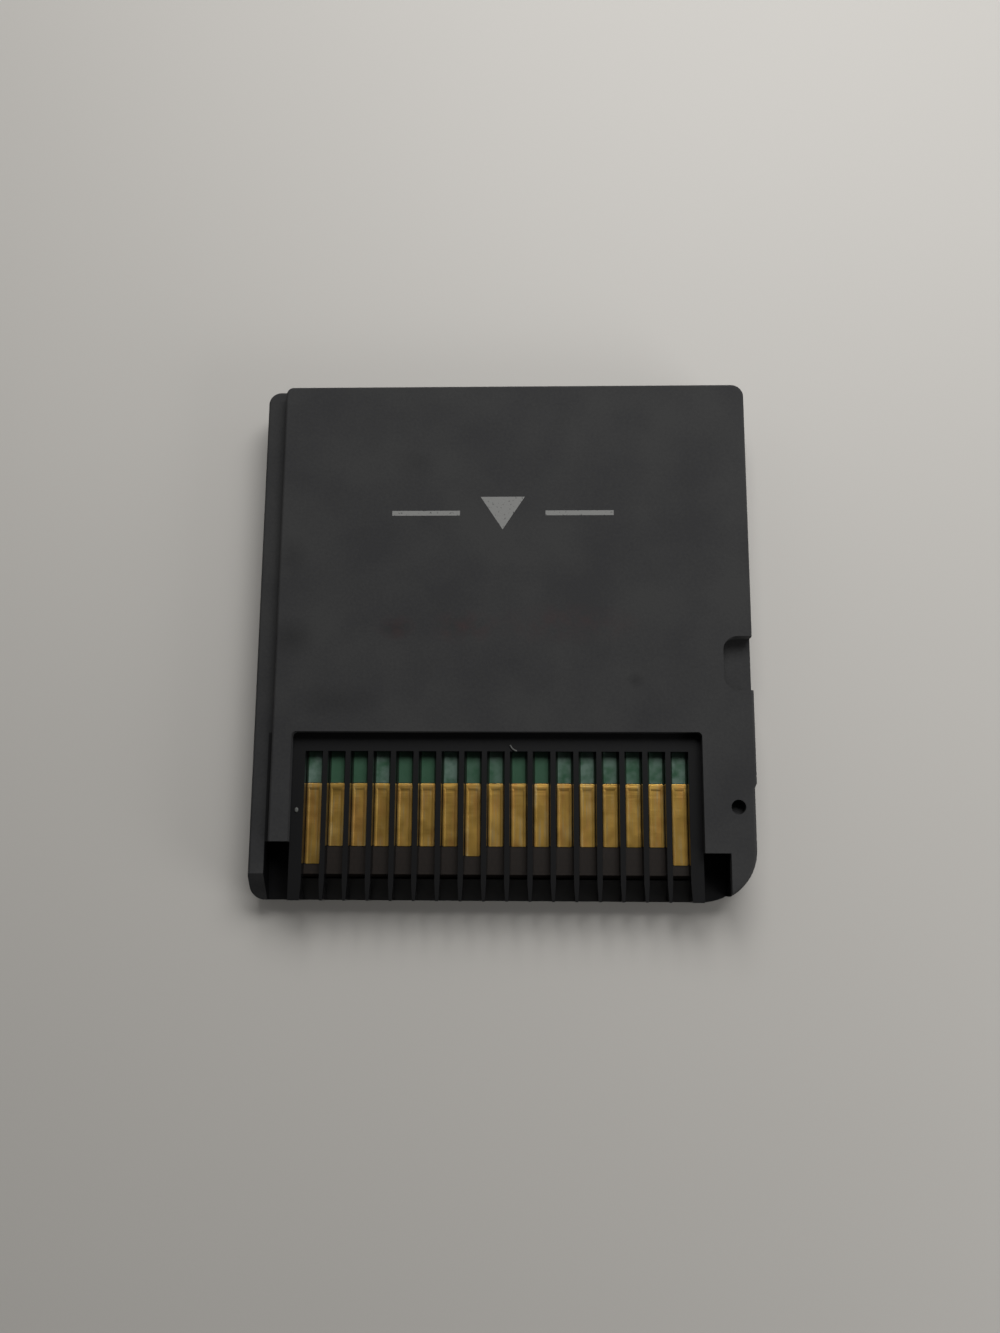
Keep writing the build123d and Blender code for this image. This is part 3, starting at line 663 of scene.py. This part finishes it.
class CARD_OT_stage(bpy.types.Operator):
    """Lay the pale floor, hang the soft lights and set up the camera"""

    bl_idname = "card.stage"
    bl_label = "Stage"

    def execute(self, context):
        stage = context.scene.card_stage
        self.lay_floor(context, stage)
        self.light(context, stage)
        self.aim_camera(context, stage)
        return {"FINISHED"}

    def lay_floor(self, context, stage):
        """Pale table top under the card."""
        # Satin lacquer: flat and pale, with clouds too faint to read as a pattern
        material, tree, place = new_material("table top, satin lacquer")
        cloud = add(tree, "TexNoise", {"Vector": place, "Scale": 1 / FLOOR_CLOUD, "Detail": 3.0})
        dim = rgba([FLOOR_DIM * v for v in stage.floor])
        tone = add(tree, "Mix", {0: cloud, 6: dim, 7: rgba(stage.floor)}, 2, data_type="RGBA")
        shader = add(tree, "BsdfPrincipled", {"Base Color": tone, "Roughness": 0.6})
        add(tree, "OutputMaterial", {"Surface": shader})
        shape = bmesh.new()
        bmesh.ops.create_grid(shape, x_segments=1, y_segments=1, size=stage.floor_half)
        mesh = bpy.data.meshes.new("floor")
        shape.to_mesh(mesh)
        shape.free()
        mesh.materials.append(material)
        floor = bpy.data.objects.new("floor", mesh)
        context.scene.collection.objects.link(floor)

    def light(self, context, stage):
        """Walls under a dim ceiling, a wide soft key light behind the card and a faint fill at its right."""
        world = bpy.data.worlds.new("room")
        world.use_nodes = True
        tree = world.node_tree
        tree.nodes.clear()
        x, y, z = add(tree, "SeparateXYZ", {0: add(tree, "TexCoord", out="Generated")}).node.outputs
        toward = add(tree, "Math", {0: x, 1: WALL_SIDE, 2: y}, operation="MULTIPLY_ADD")
        behind = add(tree, "MapRange", {0: toward, 1: WALL_DARK, 2: WALL_BRIGHT})
        walls = add(tree, "Mix", {0: behind, 6: rgba(stage.room_before), 7: rgba(stage.room_behind)}, 2,
                    data_type="RGBA")
        ceiling = add(tree, "MapRange", {0: z, 1: CEILING_START, 2: CEILING_FULL},
                      interpolation_type="SMOOTHSTEP")
        tone = add(tree, "Mix", {0: ceiling, 6: walls, 7: rgba(stage.overhead)}, 2, data_type="RGBA")
        add(tree, "OutputWorld", {"Surface": add(tree, "Background", {"Color": tone})})
        context.scene.world = world
        windows = (
            ("window", stage.window_place, stage.window_width, stage.window_height, stage.window_power),
            ("side_window", stage.side_place, stage.side_width, stage.side_height, stage.side_power),
        )
        for name, place, width, height, watts in windows:
            lamp = bpy.data.lights.new(name, "AREA")
            lamp.shape = "RECTANGLE"
            lamp.size = width
            lamp.size_y = height
            lamp.energy = watts
            window = bpy.data.objects.new(name, lamp)
            context.scene.collection.objects.link(window)
            window.location = place
            window.rotation_euler = window.location.to_track_quat("Z", "Y").to_euler()
            window.visible_camera = False

    def aim_camera(self, context, stage):
        """Camera close above the card, a little towards its contacts."""
        lens = bpy.data.cameras.new("camera")
        lens.lens = stage.lens
        lens.clip_start = 1 * MM
        camera = bpy.data.objects.new("camera", lens)
        context.scene.collection.objects.link(camera)
        turn = Vector(stage.camera_turn)
        camera.matrix_world = Matrix.Translation(stage.camera_place) @ Matrix.Rotation(turn.length, 4, turn)
        context.scene.camera = camera
        context.scene.view_settings.view_transform = "Standard"


class CARD_PT_panel(bpy.types.Panel):
    """Steps that dress the game card"""

    bl_idname = "CARD_PT_panel"
    bl_label = "Game card"
    bl_space_type = "VIEW_3D"
    bl_region_type = "UI"
    bl_category = "Game card"

    def draw(self, context):
        for step in STEPS:
            self.layout.operator(step.bl_idname)
        for group in (context.scene.card_sizes, context.scene.card_colours, context.scene.card_stage):
            for name in group.__annotations__:
                self.layout.prop(group, name)


STEPS = (CARD_OT_shells, CARD_OT_board, CARD_OT_contacts, CARD_OT_chips, CARD_OT_lint, CARD_OT_stage)
CLASSES = (CardSizes, CardColours, StageSettings, *STEPS, CARD_PT_panel)


def register():
    """Register the groups, the steps and the panel."""
    for cls in CLASSES:
        bpy.utils.register_class(cls)
    bpy.types.Scene.card_sizes = PointerProperty(type=CardSizes)
    bpy.types.Scene.card_colours = PointerProperty(type=CardColours)
    bpy.types.Scene.card_stage = PointerProperty(type=StageSettings)


def unregister():
    """Take everything out again."""
    del bpy.types.Scene.card_stage
    del bpy.types.Scene.card_colours
    del bpy.types.Scene.card_sizes
    for cls in reversed(CLASSES):
        bpy.utils.unregister_class(cls)


def main():
    """Register the add-on and run its steps in order."""
    register()
    bpy.ops.card.shells()
    bpy.ops.card.board()
    bpy.ops.card.contacts()
    bpy.ops.card.chips()
    bpy.ops.card.lint()
    bpy.ops.card.stage()


if __name__ == "__main__":
    main()
